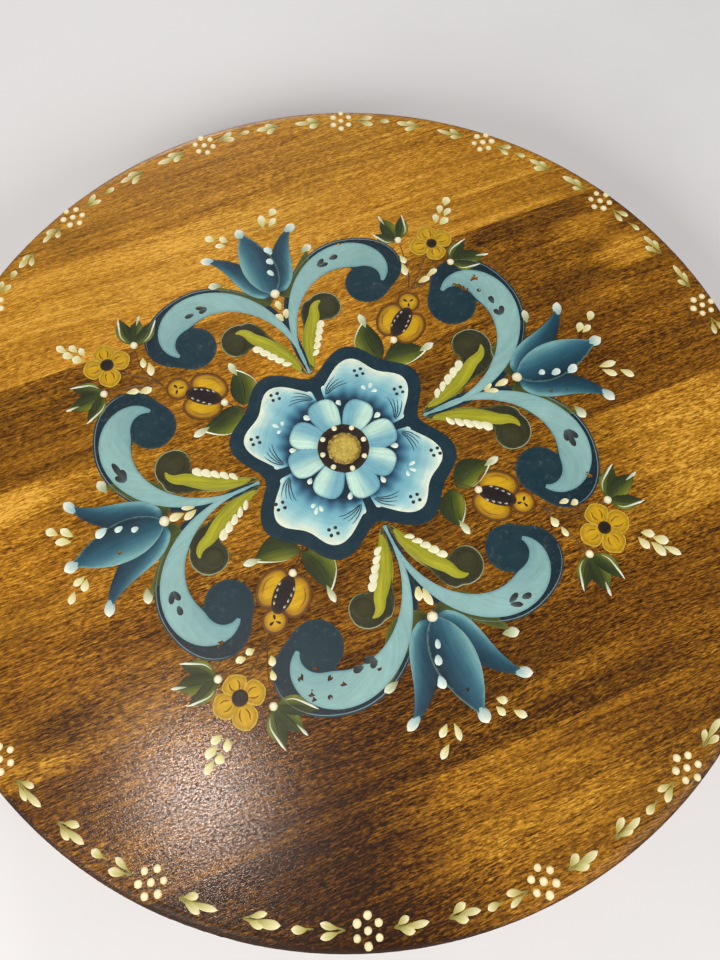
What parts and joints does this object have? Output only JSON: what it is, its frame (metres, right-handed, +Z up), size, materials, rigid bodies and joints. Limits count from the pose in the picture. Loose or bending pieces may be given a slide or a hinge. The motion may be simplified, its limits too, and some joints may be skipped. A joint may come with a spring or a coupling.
{
  "type": "rosemaled turntable tray",
  "caption": "Round wooden lazy Susan with a painted folk-flower top, turning on a ball bearing over a smaller footed wooden base.",
  "frame": {"origin": "on the spin axis, at the plane the four rubber feet stand on", "axes": "+Z up along the spin axis; +X along the grain and glue lines of the top's boards"},
  "size_m": [0.4064, 0.4064, 0.047],
  "materials": {
    "top_wood": "honey-brown stain over maple under satin varnish, hand painted in blues, greens, yellow and white",
    "base_wood": "the same stain and varnish, plain",
    "foot_rubber": "moulded matt rubber",
    "screw_steel": "zinc plated steel",
    "zinc_plate": "pressed zinc-plated sheet steel",
    "ball_steel": "polished steel balls",
    "spacer_nylon": "moulded nylon"
  },
  "bodies": {
    "base": {"base_board_1": "base_wood", "base_board_2": "base_wood", "base_board_3": "base_wood", "base_board_4": "base_wood", "rubber_foot_1": "foot_rubber", "rubber_foot_2": "foot_rubber", "rubber_foot_3": "foot_rubber", "rubber_foot_4": "foot_rubber", "foot_screws": "screw_steel", "bearing_lower_plate": "zinc_plate", "base_plate_screws": "screw_steel"},
    "ball_ring": {"bearing_balls": "ball_steel", "ball_spacer_ring": "spacer_nylon"},
    "turntable": {"top_board_1": "top_wood", "top_board_2": "top_wood", "top_board_3": "top_wood", "top_board_4": "top_wood", "top_board_5": "top_wood", "top_board_6": "top_wood", "top_board_7": "top_wood", "bearing_upper_plate": "zinc_plate", "top_plate_screws": "screw_steel"}
  },
  "joints": [
    {"name": "turntable_spin", "type": "hinge", "parent": "base", "child": "turntable", "pos_m": [0, 0, 0.024], "axis": [0, 0, 1], "continuous": true},
    {"name": "ball_ring_spin", "type": "hinge", "parent": "base", "child": "ball_ring", "pos_m": [0, 0, 0.024], "axis": [0, 0, 1], "continuous": true}
  ],
  "couplings": [
    {"joint": "ball_ring_spin", "follows": "turntable_spin", "ratio": 0.5}
  ]
}
